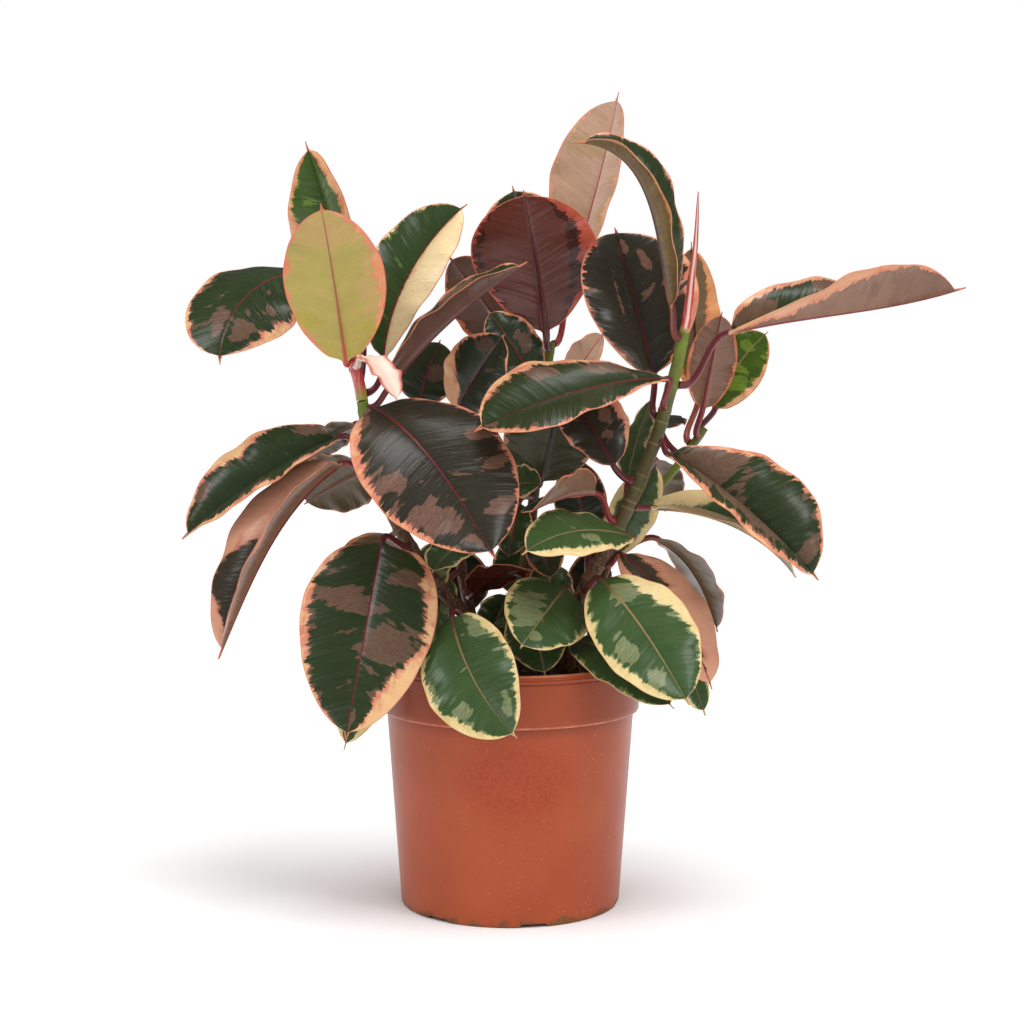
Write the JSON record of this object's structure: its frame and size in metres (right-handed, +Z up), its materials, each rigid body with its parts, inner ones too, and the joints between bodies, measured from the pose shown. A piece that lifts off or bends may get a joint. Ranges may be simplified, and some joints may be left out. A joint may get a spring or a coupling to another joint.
{
  "type": "potted rubber plant",
  "caption": "Bushy variegated rubber plant with broad glossy leaves on upright canes, standing in soil in a round tapered plastic nursery pot.",
  "frame": {"origin": "middle of the pot's foot, on the plane the pot stands on", "axes": "+Z up along the pot's axis, -Y out of the plant's showy front, +X to the right seen from the front"},
  "size_m": [0.7169, 0.2868, 0.7541],
  "materials": {
    "leaf_green": "glossy waxy leaf blade, dark green with cream, salmon and mauve variegation",
    "cane_bark": "satin green bark, brown and lined towards the soil",
    "sheath_pink": "satin pink and red bud sheath",
    "pot_terracotta": "satin terracotta-coloured plastic with dirt near the foot",
    "soil_brown": null
  },
  "bodies": {
    "root": {"pot": "pot_terracotta", "soil": "soil_brown", "cane_left": "cane_bark", "cane_right": "cane_bark", "cane_centre": "cane_bark", "cane_shoot": "cane_bark", "cane_back": "cane_bark", "leaf_left_01": "leaf_green", "leaf_left_02": "leaf_green", "leaf_left_03": "leaf_green", "leaf_left_04": "leaf_green", "leaf_left_05": "leaf_green", "leaf_left_06": "leaf_green", "leaf_left_07": "leaf_green", "leaf_left_08": "leaf_green", "leaf_left_09": "leaf_green", "leaf_left_10": "leaf_green", "leaf_left_11": "leaf_green", "leaf_left_12": "leaf_green", "leaf_left_13": "leaf_green", "leaf_left_14": "leaf_green", "leaf_right_01": "leaf_green", "leaf_right_02": "leaf_green", "leaf_right_03": "leaf_green", "leaf_right_04": "leaf_green", "leaf_right_05": "leaf_green", "leaf_right_06": "leaf_green", "leaf_right_07": "leaf_green", "leaf_right_08": "leaf_green", "leaf_right_09": "leaf_green", "leaf_right_10": "leaf_green", "leaf_right_11": "leaf_green", "leaf_right_12": "leaf_green", "leaf_right_13": "leaf_green", "leaf_right_14": "leaf_green", "leaf_right_15": "leaf_green", "leaf_right_16": "leaf_green", "leaf_centre_01": "leaf_green", "leaf_centre_02": "leaf_green", "leaf_centre_03": "leaf_green", "leaf_centre_04": "leaf_green", "leaf_centre_05": "leaf_green", "leaf_centre_06": "leaf_green", "leaf_centre_07": "leaf_green", "leaf_centre_08": "leaf_green", "leaf_shoot_01": "leaf_green", "leaf_shoot_02": "leaf_green", "leaf_shoot_03": "leaf_green", "leaf_shoot_04": "leaf_green", "leaf_shoot_05": "leaf_green", "leaf_shoot_06": "leaf_green", "leaf_shoot_07": "leaf_green", "leaf_back_01": "leaf_green", "leaf_back_02": "leaf_green", "leaf_back_03": "leaf_green", "leaf_back_04": "leaf_green", "leaf_back_05": "leaf_green", "sheath_left": "sheath_pink", "sheath_right": "sheath_pink", "stipule_left": "sheath_pink"}
  },
  "joints": []
}
